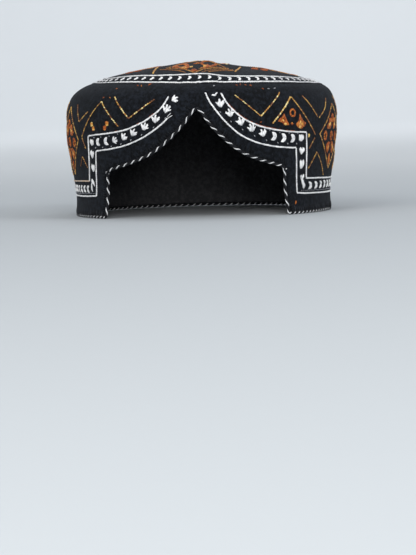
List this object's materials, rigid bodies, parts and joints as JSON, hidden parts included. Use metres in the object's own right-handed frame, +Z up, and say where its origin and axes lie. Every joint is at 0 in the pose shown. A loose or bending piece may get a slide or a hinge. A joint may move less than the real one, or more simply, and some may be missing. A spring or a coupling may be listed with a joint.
{
  "type": "sindhi cap",
  "caption": "Low, round-shouldered black cloth cap with a soft domed crown, a stepped and arched cut-out over the brow, and a twisted edging cord round the rim",
  "frame": {"origin": "on the floor, below the middle of the cap", "axes": "+Z up towards the crown, the brow cut-out faces -Y, +X to the wearer's left"},
  "size_m": [0.1734, 0.2041, 0.0972],
  "materials": {
    "black_cloth": "matte cotton, blue-black",
    "crown_cloth": "matte cotton, black",
    "twisted_cord": "black and white thread twisted together"
  },
  "bodies": {
    "root": {"side_band": "black_cloth", "crown_top": "crown_cloth", "edge_cord": "twisted_cord"}
  },
  "joints": []
}
